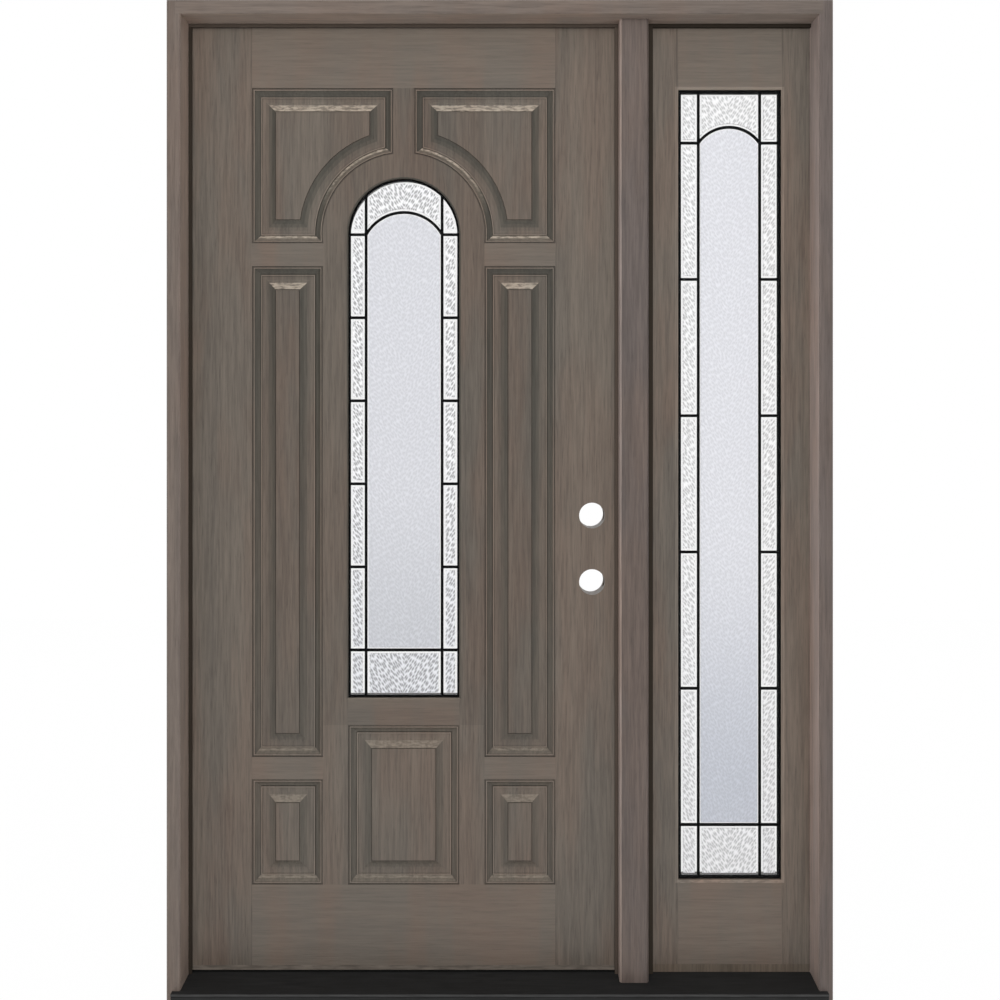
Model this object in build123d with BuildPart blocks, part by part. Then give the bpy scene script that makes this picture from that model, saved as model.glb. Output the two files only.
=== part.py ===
from build123d import *
import os
from math import atan2, cos, sin, sqrt

# Prehung entry door with one fixed sidelite. All sizes are in millimetres.
# +X runs to the right seen from outside, +Y into the house, +Z up.
# The origin is on the floor under the middle of the frame.

# Jamb frame
frame_height = 2060
jamb_depth = 116
jamb_thickness = 28
jamb_chamfer = 2
door_opening_width = 900.5
sidelite_opening_width = 344.5
mullion_width = 60
mullion_setback = 30
mullion_chamfer = 4
stop_overlap = 6
door_edge_gap = 5
sidelite_edge_gap = 2

# Slab, the same build for the door and the sidelite panel
slab_thickness = 44.5
skin_thickness = 3
lock_edge_bevel = 2.5

# Weatherstrip on the stops
strip_thickness = 5
strip_clearance = 5
strip_reach = 7
strip_flat = 0.2
gasket_reach = 13

# Sill
sill_projection = 12
sill_horn = 11.5
deck_back_height = 40
deck_nose_height = 36
deck_wall = 3
deck_lip_height = 4.5
deck_lip_depth = 1.5
deck_lip_rounding = 1.5
deck_foot_height = 6
deck_set_off = 2
cap_height = 39
cap_thickness = 8
cap_rounding = 2
sidelite_base_height = 17
sidelite_base_set_back = 1

# Sweep under the door
sweep_height = 10
sweep_clearance = 5
sweep_plate = 3
sweep_fin = 2.5
sweep_fin_count = 3

# Door skeleton
stile_width = 30
top_rail_height = 38
bottom_rail_height = 50
lock_block_width = 85
lock_block_height = 330

# Lock bores
knob_height = 806
bore_spacing = 140
backset = 60
cross_bore_radius = 27
edge_bore_radius = 12.7

# Panels of the door, set out from the slab's centre line and from its top and bottom edges
panel_outer = 319
arch_radius = 170
arch_spring_rise = 19.5
top_panel_gap = 44
top_panel_margin = 138.5
top_panel_height = 326.5
upper_rail_width = 48
low_panel_margin = 169.5
low_panel_height = 221.5
lower_rail_width = 47
centre_panel_height = 335.5
centre_rail_width = 57

# Panel moulding, from the panel's edge inwards
quirk_width = 2.4
quirk_depth = 2.4
bead_width = 3.6
bead_depth = 0.7
cove_top_depth = 2.2
cove_width = 11
cove_depth = 9.2
cove_hollow = 0.7
cove_steps = 2
fillet_width = 3.4
fillet_depth = 7.4
fillet_slope = 0.6
bevel_width = 28
bevel_low_depth = 8.7
bevel_high_depth = 1.4
bevel_hollow = 2.3
bevel_steps = 4
groove_width = 1.2
groove_depth = 2.3
field_depth = 0.6
pan_depth = 11
pan_wall = 3

# Door light
lite_half_width = 117
lite_ease = 3
lite_ease_depth = 2

# Sidelite light
sidelite_side_margin = 65.75
sidelite_bottom_margin = 177
sidelite_top_margin = 141.5
sidelite_ease = 6
sidelite_ease_depth = 2.2

# Glass units
glass_lip = 10
glass_clearance = 0.5
pane_thickness = 4
came_width = 6.2
came_thickness = 6
art_glass_thickness = 4
side_bar_count = 5
door_border_width = 36.7
door_cross_bar_rise = 99
door_arc_rise = 47
sidelite_border_width = 43.7
sidelite_cross_bar_rise = 113
sidelite_arc_drop = 110.5
sidelite_arc_rise = 33.5

# Strike preparations in the mullion, behind the lock bores
strike_height = 57
strike_width = 28
strike_depth = 2
strike_pocket_height = 28
strike_pocket_width = 19
strike_pocket_depth = 22

# Hinges
hinge_height = 102
hinge_leaf_width = 38
hinge_leaf_thickness = 2.5
hinge_top_offset = 178
hinge_bottom_offset = 279
knuckle_radius = 6.5
knuckle_count = 3
knuckle_gap = 0.4
pin_radius = 3.4
pin_clearance = 0.1
pin_offset = 7
pin_head_radius = 5.5
pin_head_height = 4

# Places across the frame that follow from the sizes above
frame_width = 2 * jamb_thickness + door_opening_width + mullion_width + sidelite_opening_width
left_x = -frame_width / 2
right_x = frame_width / 2
hinge_stop_x = left_x + jamb_thickness
latch_stop_x = hinge_stop_x + door_opening_width
mullion_right_x = latch_stop_x + mullion_width
sidelite_stop_x = right_x - jamb_thickness
hinge_rabbet_x = hinge_stop_x - stop_overlap - door_edge_gap
latch_rabbet_x = latch_stop_x + stop_overlap + door_edge_gap
sidelite_rabbet_x = sidelite_stop_x + stop_overlap + sidelite_edge_gap
sill_half_length = right_x - sill_horn
slab_left = hinge_stop_x - stop_overlap
slab_right = latch_stop_x + stop_overlap
slab_half = (slab_right - slab_left) / 2
slab_x = (slab_left + slab_right) / 2
bevelled_half = slab_half - lock_edge_bevel
sidelite_left = mullion_right_x + sidelite_edge_gap
sidelite_right = sidelite_stop_x + stop_overlap
sidelite_half = (sidelite_right - sidelite_left) / 2
sidelite_x = (sidelite_left + sidelite_right) / 2
sidelite_glass_half = sidelite_half - sidelite_side_margin
door_bar_spread = lite_half_width - door_border_width
sidelite_bar_spread = sidelite_glass_half - sidelite_border_width
bore_x = slab_half - backset
pin_x = (hinge_rabbet_x + slab_left) / 2

# Places through the frame
front_y = -jamb_depth / 2
back_y = jamb_depth / 2
slab_front = back_y - slab_thickness
slab_middle = back_y - slab_thickness / 2
core_thickness = slab_thickness - 2 * skin_thickness
core_front = slab_front + skin_thickness
core_back = core_front + core_thickness
strip_back = slab_front - strip_clearance
strip_front = strip_back - strip_thickness
sill_nose_y = front_y - sill_projection
deck_back_y = slab_front - deck_set_off
deck_face_y = sill_nose_y + deck_lip_depth
deck_inner_y = deck_face_y + deck_wall
pin_y = back_y + pin_offset

# Places up the frame
head_stop_z = frame_height - jamb_thickness
head_rabbet_z = head_stop_z + stop_overlap + door_edge_gap
slab_top = head_stop_z + stop_overlap
slab_bottom = cap_height + sweep_clearance + sweep_height
slab_height = slab_top - slab_bottom
sidelite_bottom = cap_height + sidelite_base_height
sidelite_height = slab_top - sidelite_bottom
cap_seat_z = cap_height - cap_thickness
bore_heights = (knob_height, knob_height + bore_spacing)
lock_block_z = knob_height + bore_spacing / 2
low_hinge_z = slab_bottom + hinge_bottom_offset
high_hinge_z = slab_top - hinge_top_offset - hinge_height
hinge_bottoms = {"bottom": low_hinge_z, "middle": (low_hinge_z + high_hinge_z) / 2, "top": high_hinge_z}

# Heights on the door, from the slab's bottom edge
top_panel_top = slab_height - top_panel_margin
top_panel_bottom = top_panel_top - top_panel_height
arch_spring = top_panel_bottom + arch_spring_rise
low_panel_top = low_panel_margin + low_panel_height
tall_panel_bottom = low_panel_top + lower_rail_width
tall_panel_top = top_panel_bottom - upper_rail_width
centre_panel_top = low_panel_margin + centre_panel_height
lite_bottom = centre_panel_top + centre_rail_width
door_cross_bar = lite_bottom + door_cross_bar_rise

# Heights on the sidelite panel, from its bottom edge
sidelite_glass_top = sidelite_height - sidelite_top_margin
sidelite_cross_bar = sidelite_bottom_margin + sidelite_cross_bar_rise
sidelite_arc_spring = sidelite_glass_top - sidelite_arc_drop

# Faces of the slabs: X to the right and Y up as seen from the side that each faces, from the slab's bottom centre
door_outside = Plane(origin=(slab_x, slab_front, slab_bottom), x_dir=(1, 0, 0), z_dir=(0, -1, 0))
door_inside = Plane(origin=(slab_x, back_y, slab_bottom), x_dir=(-1, 0, 0), z_dir=(0, 1, 0))
sidelite_outside = Plane(origin=(sidelite_x, slab_front, sidelite_bottom), x_dir=(1, 0, 0), z_dir=(0, -1, 0))
sidelite_inside = Plane(origin=(sidelite_x, back_y, sidelite_bottom), x_dir=(-1, 0, 0), z_dir=(0, 1, 0))
door_core = door_outside.offset(-skin_thickness)
sidelite_core = sidelite_outside.offset(-skin_thickness)


def write(piece, name):
    """Label a finished piece and write it to a file of its own."""
    piece.part.label = name
    export_step(piece.part, f"parts/{name}.step")


def rectangle(left, right, bottom, top):
    """Rectangle between four edges."""
    with BuildSketch() as outline:
        with Locations(((left + right) / 2, (bottom + top) / 2)):
            Rectangle(right - left, top - bottom)
    return outline.sketch


def polygon(*points):
    """Face inside a closed run of straight edges."""
    with BuildSketch() as outline:
        with BuildLine():
            Polyline(*points, close=True)
        make_face()
    return outline.sketch


def square_edge(left, right, bottom, top, inset):
    """Edge of a four-sided panel or light, moved in by the inset."""
    return rectangle(left + inset, right - inset, bottom + inset, top - inset)


def arched_edge(side, inset):
    """Edge of a top panel, whose lower inner corner is cut by an arc about the light's arch."""
    outer = panel_outer - inset
    inner = top_panel_gap / 2 + inset
    bottom = top_panel_bottom + inset
    top = top_panel_top - inset
    radius = arch_radius + inset
    high_rise = sqrt(radius**2 - inner**2)
    low_rise = bottom - arch_spring
    low_reach = sqrt(radius**2 - low_rise**2)
    middle_angle = (atan2(high_rise, inner) + atan2(low_rise, low_reach)) / 2
    arc_high = (side * inner, arch_spring + high_rise)
    arc_middle = (side * radius * cos(middle_angle), arch_spring + radius * sin(middle_angle))
    arc_low = (side * low_reach, bottom)
    with BuildSketch() as outline:
        with BuildLine():
            Polyline(arc_low, (side * outer, bottom), (side * outer, top), (side * inner, top), arc_high)
            ThreePointArc(arc_high, arc_middle, arc_low)
        make_face()
    return outline.sketch


def panel_edges(inset):
    """Edges of all the door's panels, moved in by the inset."""
    edges = [arched_edge(side, inset) for side in (-1, 1)]
    for bottom, top in ((tall_panel_bottom, tall_panel_top), (low_panel_margin, low_panel_top)):
        edges.append(square_edge(-panel_outer, -arch_radius, bottom, top, inset))
        edges.append(square_edge(arch_radius, panel_outer, bottom, top, inset))
    edges.append(square_edge(-lite_half_width, lite_half_width, low_panel_margin, centre_panel_top, inset))
    return edges


def door_light(inset):
    """Round-topped edge of the door's light, moved in by the inset."""
    half = lite_half_width - inset
    bottom = lite_bottom + inset
    with BuildSketch() as outline:
        with BuildLine():
            Polyline((-half, arch_spring), (-half, bottom), (half, bottom), (half, arch_spring))
            ThreePointArc((half, arch_spring), (0, arch_spring + half), (-half, arch_spring))
        make_face()
    return outline.sketch


def sidelite_light(inset):
    """Edge of the sidelite's light, moved in by the inset."""
    half = sidelite_glass_half
    return square_edge(-half, half, sidelite_bottom_margin, sidelite_glass_top, inset)


def moulding_profile():
    """Points of the panel moulding: inset from the panel's edge, and depth below the face."""
    bead_end = quirk_width + bead_width
    cove_end = bead_end + cove_width
    fillet_end = cove_end + fillet_width
    bevel_end = fillet_end + bevel_width
    points = [(0, 0), (0, quirk_depth), (quirk_width, quirk_depth)]
    points.append((quirk_width + bead_width / 4, bead_depth))
    points.append((quirk_width + bead_width * 3 / 4, bead_depth))
    points.append((bead_end, cove_top_depth))
    for step in range(1, cove_steps + 1):
        share = step / cove_steps
        drop = (cove_depth - cove_top_depth) * share**cove_hollow
        points.append((bead_end + cove_width * share, cove_top_depth + drop))
    points.append((cove_end + fillet_slope, fillet_depth))
    points.append((fillet_end - fillet_slope, fillet_depth))
    points.append((fillet_end, bevel_low_depth))
    for step in range(1, bevel_steps + 1):
        share = step / bevel_steps
        rise = (bevel_low_depth - bevel_high_depth) * share**bevel_hollow
        points.append((fillet_end + bevel_width * share, bevel_low_depth - rise))
    points.append((bevel_end + groove_width / 3, groove_depth))
    points.append((bevel_end + groove_width, groove_depth))
    points.append((bevel_end + groove_width * 5 / 3, field_depth))
    return points


def moulded_panels():
    """Raised panels with their mouldings, face up on XY, each on a pan with a flat back."""
    profile = moulding_profile()
    edges = [panel_edges(inset) for inset, depth in profile]
    depths = [depth for inset, depth in profile]
    panels = []
    for number, pan_edge in enumerate(panel_edges(-pan_wall)):
        with BuildPart() as panel:
            with BuildSketch(Plane.XY.offset(-pan_depth)):
                add(pan_edge)
            extrude(amount=pan_depth)
            for point in range(1, len(profile)):
                if depths[point] == depths[point - 1]:
                    continue
                with BuildSketch(Plane.XY.offset(-depths[point - 1])):
                    add(edges[point - 1][number])
                with BuildSketch(Plane.XY.offset(-depths[point])):
                    add(edges[point][number])
                rises = depths[point] < depths[point - 1]
                loft(ruled=True, mode=Mode.ADD if rises else Mode.SUBTRACT)
        panels.append(panel.part)
    return panels


def came_outline(light, bar_spread, cross_bar, arc_spring, arc_rise):
    """Came of a light: a border, two uprights, short side bars, one cross bar and an inner arc."""
    box = light(0).bounding_box()
    half_bar = came_width / 2
    half_light = box.size.X / 2
    arc_radius = (bar_spread**2 + arc_rise**2) / (2 * arc_rise)
    pitch = (arc_spring - cross_bar) / side_bar_count
    with BuildSketch() as border:
        add(light(glass_clearance - glass_lip))
        add(light(came_width), mode=Mode.SUBTRACT)
    with BuildSketch() as came:
        with Locations((0, arc_spring + arc_rise - arc_radius)):
            Circle(arc_radius + half_bar)
            Circle(arc_radius - half_bar, mode=Mode.SUBTRACT)
        add(rectangle(-bar_spread, bar_spread, arc_spring, box.max.Y), mode=Mode.INTERSECT)
        for number in range(1, side_bar_count + 1):
            level = cross_bar + number * pitch
            add(rectangle(-half_light, -bar_spread, level - half_bar, level + half_bar))
            add(rectangle(bar_spread, half_light, level - half_bar, level + half_bar))
        add(rectangle(-half_light, half_light, cross_bar - half_bar, cross_bar + half_bar))
        for side in (-bar_spread, bar_spread):
            add(rectangle(side - half_bar, side + half_bar, box.min.Y, box.max.Y))
        add(light(0), mode=Mode.INTERSECT)
        add(border.sketch)
    return came.sketch


os.makedirs("parts", exist_ok=True)

# Spaces that the sill and the head take out of the upright jambs
with BuildPart() as sill_space:
    with BuildSketch(Plane.YZ):
        add(
            polygon(
                (sill_nose_y, 0),
                (sill_nose_y, deck_nose_height),
                (deck_back_y, deck_back_height),
                (deck_back_y, cap_height),
                (back_y, cap_height),
                (back_y, 0),
            )
        )
    extrude(amount=sill_half_length, both=True)

with BuildPart() as head_jamb:
    with BuildSketch(Plane.YZ.offset(hinge_rabbet_x)):
        add(
            polygon(
                (front_y, frame_height),
                (front_y, head_stop_z),
                (strip_front, head_stop_z),
                (strip_front, head_rabbet_z),
                (back_y, head_rabbet_z),
                (back_y, frame_height),
            )
        )
    extrude(amount=sidelite_rabbet_x - hinge_rabbet_x)
write(head_jamb, "head_jamb")

with BuildPart() as hinge_jamb:
    with BuildSketch() as hinge_jamb_profile:
        add(
            polygon(
                (left_x, front_y),
                (hinge_stop_x, front_y),
                (hinge_stop_x, strip_front),
                (hinge_rabbet_x, strip_front),
                (hinge_rabbet_x, back_y),
                (left_x, back_y),
            )
        )
        chamfer(hinge_jamb_profile.vertices().group_by(Axis.Y)[0], length=jamb_chamfer)
    extrude(amount=frame_height)
    add(sill_space.part, mode=Mode.SUBTRACT)
    add(head_jamb.part, mode=Mode.SUBTRACT)
    for hinge_z in hinge_bottoms.values():
        with BuildSketch(Plane.XY.offset(hinge_z)):
            add(rectangle(hinge_rabbet_x - hinge_leaf_thickness, hinge_rabbet_x, back_y - hinge_leaf_width, back_y))
        extrude(amount=hinge_height, mode=Mode.SUBTRACT)
write(hinge_jamb, "hinge_jamb")

with BuildPart() as sidelite_jamb:
    with BuildSketch() as sidelite_jamb_profile:
        add(
            polygon(
                (right_x, front_y),
                (sidelite_stop_x, front_y),
                (sidelite_stop_x, slab_front),
                (sidelite_rabbet_x, slab_front),
                (sidelite_rabbet_x, back_y),
                (right_x, back_y),
            )
        )
        chamfer(sidelite_jamb_profile.vertices().group_by(Axis.Y)[0], length=jamb_chamfer)
    extrude(amount=frame_height)
    add(sill_space.part, mode=Mode.SUBTRACT)
    add(head_jamb.part, mode=Mode.SUBTRACT)
write(sidelite_jamb, "sidelite_jamb")

with BuildPart() as mullion_post:
    with BuildSketch() as mullion_profile:
        add(
            polygon(
                (latch_stop_x, front_y + mullion_setback),
                (mullion_right_x, front_y + mullion_setback),
                (mullion_right_x, back_y),
                (latch_rabbet_x, back_y),
                (latch_rabbet_x, strip_front),
                (latch_stop_x, strip_front),
            )
        )
        chamfer(mullion_profile.vertices().group_by(Axis.Y)[0], length=mullion_chamfer)
    extrude(amount=frame_height)
    add(sill_space.part, mode=Mode.SUBTRACT)
    add(head_jamb.part, mode=Mode.SUBTRACT)
    strike_places = [(slab_middle, slab_bottom + height) for height in bore_heights]
    with BuildSketch(Plane.YZ.offset(latch_rabbet_x)):
        with Locations(*strike_places):
            Rectangle(strike_width, strike_height)
    extrude(amount=strike_depth, mode=Mode.SUBTRACT)
    with BuildSketch(Plane.YZ.offset(latch_rabbet_x)):
        with Locations(*strike_places):
            Rectangle(strike_pocket_width, strike_pocket_height)
    extrude(amount=strike_pocket_depth, mode=Mode.SUBTRACT)
write(mullion_post, "mullion_post")

# Sill: a block under a sloped deck with a rolled nose, and a cap under the slabs
deck_slope = (deck_back_height - deck_nose_height) / (deck_back_y - sill_nose_y)
deck_inner_z = deck_nose_height + deck_slope * (deck_inner_y - sill_nose_y) - deck_wall

with BuildPart() as sill_deck:
    with BuildSketch(Plane.YZ) as deck_profile:
        add(
            polygon(
                (deck_back_y, deck_back_height),
                (sill_nose_y, deck_nose_height),
                (sill_nose_y, deck_nose_height - deck_lip_height),
                (deck_face_y, deck_nose_height - deck_lip_height),
                (deck_face_y, deck_foot_height),
                (deck_inner_y, deck_foot_height),
                (deck_inner_y, deck_inner_z),
                (deck_back_y, deck_back_height - deck_wall),
            )
        )
        fillet(deck_profile.vertices().group_by(Axis.Y)[0], radius=deck_lip_rounding)
    extrude(amount=sill_half_length, both=True)
write(sill_deck, "sill_deck")

with BuildPart() as sill_substrate:
    with BuildSketch(Plane.YZ):
        add(
            polygon(
                (deck_inner_y, 0),
                (deck_inner_y, deck_inner_z),
                (deck_back_y, deck_back_height - deck_wall),
                (deck_back_y, cap_seat_z),
                (back_y, cap_seat_z),
                (back_y, 0),
            )
        )
    extrude(amount=sill_half_length, both=True)
write(sill_substrate, "sill_substrate")

with BuildPart() as threshold_cap:
    with BuildSketch(Plane.YZ) as cap_profile:
        add(rectangle(deck_back_y, back_y, cap_seat_z, cap_height))
        fillet(cap_profile.vertices().group_by(Axis.Z)[-1], radius=cap_rounding)
    extrude(amount=sill_half_length, both=True)
write(threshold_cap, "threshold_cap")

with BuildPart() as sidelite_base:
    with BuildSketch(Plane.XY.offset(cap_height)):
        add(rectangle(mullion_right_x, sidelite_rabbet_x, slab_front + sidelite_base_set_back, back_y))
    extrude(amount=sidelite_base_height)
write(sidelite_base, "sidelite_base")

# Weatherstrips behind the stops, and the gasket in front of the sidelite panel
strip_rounding = (strip_thickness - strip_flat) / 2
strip_low_z = deck_back_height
strip_high_z = head_stop_z - strip_reach

with BuildPart() as hinge_weatherstrip:
    with BuildSketch(Plane.XY.offset(strip_low_z)) as hinge_strip_profile:
        add(rectangle(hinge_rabbet_x, hinge_stop_x + strip_reach, strip_front, strip_back))
        fillet(hinge_strip_profile.vertices().group_by(Axis.X)[-1], radius=strip_rounding)
    extrude(amount=strip_high_z - strip_low_z)
write(hinge_weatherstrip, "hinge_weatherstrip")

with BuildPart() as latch_weatherstrip:
    with BuildSketch(Plane.XY.offset(strip_low_z)) as latch_strip_profile:
        add(rectangle(latch_stop_x - strip_reach, latch_rabbet_x, strip_front, strip_back))
        fillet(latch_strip_profile.vertices().group_by(Axis.X)[0], radius=strip_rounding)
    extrude(amount=strip_high_z - strip_low_z)
write(latch_weatherstrip, "latch_weatherstrip")

with BuildPart() as head_weatherstrip:
    with BuildSketch(Plane.YZ.offset(hinge_rabbet_x)) as head_strip_profile:
        add(rectangle(strip_front, strip_back, strip_high_z, head_rabbet_z))
        fillet(head_strip_profile.vertices().group_by(Axis.Z)[0], radius=strip_rounding)
    extrude(amount=latch_rabbet_x - hinge_rabbet_x)
write(head_weatherstrip, "head_weatherstrip")

with BuildPart() as sidelite_gasket:
    with BuildSketch(Plane.XZ.offset(-slab_front)):
        add(rectangle(mullion_right_x, mullion_right_x + gasket_reach, strip_low_z, head_rabbet_z))
        add(rectangle(mullion_right_x, sidelite_stop_x, strip_high_z, head_rabbet_z))
    extrude(amount=slab_front - strip_front)
write(sidelite_gasket, "sidelite_gasket")

# Skeleton of the sidelite panel
sidelite_hole_half = sidelite_glass_half + glass_lip
sidelite_hole_bottom = sidelite_bottom_margin - glass_lip
sidelite_hole_top = sidelite_glass_top + glass_lip
sidelite_members = {
    "sidelite_left_stile": (-sidelite_half, -sidelite_hole_half, 0, sidelite_height),
    "sidelite_right_stile": (sidelite_hole_half, sidelite_half, 0, sidelite_height),
    "sidelite_bottom_rail": (-sidelite_hole_half, sidelite_hole_half, 0, sidelite_hole_bottom),
    "sidelite_top_rail": (-sidelite_hole_half, sidelite_hole_half, sidelite_hole_top, sidelite_height),
}
for name, edges in sidelite_members.items():
    with BuildPart() as sidelite_member:
        with BuildSketch(sidelite_core):
            add(rectangle(*edges))
        extrude(amount=-core_thickness)
    write(sidelite_member, name)

for name, face in (("sidelite_exterior_skin", sidelite_outside), ("sidelite_interior_skin", sidelite_inside)):
    with BuildPart() as sidelite_skin:
        with BuildSketch(face):
            add(rectangle(-sidelite_half, sidelite_half, 0, sidelite_height))
            add(sidelite_light(0), mode=Mode.SUBTRACT)
        extrude(amount=-skin_thickness)
        with BuildSketch(face):
            add(sidelite_light(-sidelite_ease))
        with BuildSketch(face.offset(-sidelite_ease_depth)):
            add(sidelite_light(0))
        loft(ruled=True, mode=Mode.SUBTRACT)
    write(sidelite_skin, name)

# Skeleton of the door
with BuildPart() as hinge_stile:
    with BuildSketch(door_core):
        add(rectangle(-slab_half, -slab_half + stile_width, 0, slab_height))
    extrude(amount=-core_thickness)
    for hinge_z in hinge_bottoms.values():
        with BuildSketch(Plane.XY.offset(hinge_z)):
            add(rectangle(slab_left, slab_left + hinge_leaf_thickness, back_y - hinge_leaf_width, back_y))
        extrude(amount=hinge_height, mode=Mode.SUBTRACT)
write(hinge_stile, "hinge_stile")

with BuildPart() as lock_stile:
    with BuildSketch(Plane.XY.offset(slab_bottom)):
        add(
            polygon(
                (slab_right - stile_width, core_front),
                (slab_right - lock_edge_bevel, core_front),
                (slab_right, core_back),
                (slab_right - stile_width, core_back),
            )
        )
    extrude(amount=slab_height)
    with BuildSketch(Plane.YZ.offset(slab_x + bore_x)):
        with Locations(*[(slab_middle, slab_bottom + height) for height in bore_heights]):
            Circle(edge_bore_radius)
    extrude(amount=backset, mode=Mode.SUBTRACT)
write(lock_stile, "lock_stile")

lock_block_edges = (
    slab_half - stile_width - lock_block_width,
    slab_half - stile_width,
    lock_block_z - lock_block_height / 2,
    lock_block_z + lock_block_height / 2,
)
with BuildPart() as lock_block:
    with BuildSketch(door_core):
        add(rectangle(*lock_block_edges))
        with Locations(*[(bore_x, height) for height in bore_heights]):
            Circle(cross_bore_radius, mode=Mode.SUBTRACT)
    extrude(amount=-core_thickness)
    with BuildSketch(Plane.YZ.offset(slab_x + bore_x)):
        with Locations(*[(slab_middle, slab_bottom + height) for height in bore_heights]):
            Circle(edge_bore_radius)
    extrude(amount=backset, mode=Mode.SUBTRACT)
write(lock_block, "lock_block")

rail_half = slab_half - stile_width
with BuildPart() as door_top_rail:
    with BuildSketch(door_core):
        add(rectangle(-rail_half, rail_half, slab_height - top_rail_height, slab_height))
    extrude(amount=-core_thickness)
write(door_top_rail, "door_top_rail")

with BuildPart() as door_bottom_rail:
    with BuildSketch(door_core):
        add(rectangle(-rail_half, rail_half, 0, bottom_rail_height))
    extrude(amount=-core_thickness)
write(door_bottom_rail, "door_bottom_rail")

with BuildPart() as foam_core:
    with BuildSketch(door_core):
        add(rectangle(-rail_half, rail_half, bottom_rail_height, slab_height - top_rail_height))
        add(rectangle(*lock_block_edges), mode=Mode.SUBTRACT)
        add(door_light(-glass_lip), mode=Mode.SUBTRACT)
    extrude(amount=-core_thickness)
    for face in (door_outside, door_inside):
        with BuildSketch(face):
            add(panel_edges(-pan_wall))
        extrude(amount=-pan_depth, mode=Mode.SUBTRACT)
write(foam_core, "foam_core")

# Moulded skins of the door. The outer one is narrower on the lock side, where the edge is bevelled.
panels = moulded_panels()
door_skins = {
    "door_exterior_skin": (door_outside, -slab_half, bevelled_half, bore_x),
    "door_interior_skin": (door_inside, -slab_half, slab_half, -bore_x),
}
for name, (face, left, right, skin_bore_x) in door_skins.items():
    with BuildPart() as door_skin:
        with BuildSketch(face):
            add(rectangle(left, right, 0, slab_height))
            add(panel_edges(-pan_wall), mode=Mode.SUBTRACT)
            add(door_light(0), mode=Mode.SUBTRACT)
            with Locations(*[(skin_bore_x, height) for height in bore_heights]):
                Circle(cross_bore_radius, mode=Mode.SUBTRACT)
        extrude(amount=-skin_thickness)
        with Locations(face):
            add(panels)
        with BuildSketch(face):
            add(door_light(-lite_ease))
        with BuildSketch(face.offset(-lite_ease_depth)):
            add(door_light(0))
        loft(ruled=True, mode=Mode.SUBTRACT)
        for hinge_z in hinge_bottoms.values():
            with BuildSketch(Plane.XY.offset(hinge_z)):
                add(rectangle(slab_left, slab_left + hinge_leaf_thickness, back_y - hinge_leaf_width, back_y))
            extrude(amount=hinge_height, mode=Mode.SUBTRACT)
    write(door_skin, name)

with BuildPart() as door_sweep:
    with BuildSketch(Plane.YZ.offset(slab_left)):
        add(rectangle(slab_front, back_y, slab_bottom - sweep_plate, slab_bottom))
        for number in range(sweep_fin_count):
            fin_y = slab_front + number * (slab_thickness - sweep_fin) / (sweep_fin_count - 1)
            add(rectangle(fin_y, fin_y + sweep_fin, slab_bottom - sweep_height, slab_bottom))
    extrude(amount=slab_right - lock_edge_bevel - slab_left)
write(door_sweep, "door_sweep")

# Glass units: an outer and an inner pane behind the skins, with came and art glass against the outer pane
glass_units = {
    "door": (
        door_outside,
        door_inside,
        door_light,
        came_outline(door_light, door_bar_spread, door_cross_bar, arch_spring, door_arc_rise),
    ),
    "sidelite": (
        sidelite_outside,
        sidelite_inside,
        sidelite_light,
        came_outline(
            sidelite_light, sidelite_bar_spread, sidelite_cross_bar, sidelite_arc_spring, sidelite_arc_rise
        ),
    ),
}
for unit, (outside, inside, light, came_face) in glass_units.items():
    for side, face in (("outer", outside), ("inner", inside)):
        with BuildPart() as pane:
            with BuildSketch(face.offset(-skin_thickness)):
                add(light(glass_clearance - glass_lip))
            extrude(amount=-pane_thickness)
        write(pane, f"{unit}_{side}_pane")
    came_depth = skin_thickness + pane_thickness
    with BuildPart() as came:
        with BuildSketch(outside.offset(-came_depth)):
            add(came_face)
        extrude(amount=-came_thickness)
    write(came, f"{unit}_came")
    with BuildPart() as art_glass:
        with BuildSketch(outside.offset(-came_depth - (came_thickness - art_glass_thickness) / 2)):
            add(light(came_width))
            add(came_face, mode=Mode.SUBTRACT)
        extrude(amount=-art_glass_thickness)
    write(art_glass, f"{unit}_art_glass")

# Butt hinges: leaves let into the jamb and the door's edge, with knuckles that take turns round one pin
knuckle_pitch = hinge_height / knuckle_count
for place, hinge_z in hinge_bottoms.items():
    leaves = {
        f"{place}_hinge_jamb_leaf": (hinge_rabbet_x - hinge_leaf_thickness, hinge_rabbet_x, 0),
        f"{place}_hinge_door_leaf": (slab_left, slab_left + hinge_leaf_thickness, 1),
    }
    for name, (leaf_left, leaf_right, first_knuckle) in leaves.items():
        with BuildPart() as leaf:
            with BuildSketch(Plane.XY.offset(hinge_z)):
                add(rectangle(leaf_left, leaf_right, back_y - hinge_leaf_width, back_y))
            extrude(amount=hinge_height)
            for number in range(first_knuckle, knuckle_count, 2):
                with BuildSketch(Plane.XY.offset(hinge_z + number * knuckle_pitch + knuckle_gap / 2)):
                    add(rectangle(leaf_left, leaf_right, back_y, pin_y))
                    with Locations((pin_x, pin_y)):
                        Circle(knuckle_radius)
                extrude(amount=knuckle_pitch - knuckle_gap)
            with BuildSketch(Plane.XY.offset(hinge_z)):
                with Locations((pin_x, pin_y)):
                    Circle(pin_radius + pin_clearance)
            extrude(amount=hinge_height, mode=Mode.SUBTRACT)
        write(leaf, name)
    with BuildPart() as hinge_pin:
        pin_low_z = hinge_z + knuckle_gap / 2
        pin_high_z = hinge_z + hinge_height - knuckle_gap / 2
        with BuildSketch(Plane.XY.offset(pin_low_z)):
            with Locations((pin_x, pin_y)):
                Circle(pin_radius)
        extrude(amount=pin_high_z - pin_low_z)
        with BuildSketch(Plane.XY.offset(pin_high_z)):
            with Locations((pin_x, pin_y)):
                Circle(pin_head_radius)
        extrude(amount=pin_head_height)
    write(hinge_pin, f"{place}_hinge_pin")
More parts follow.
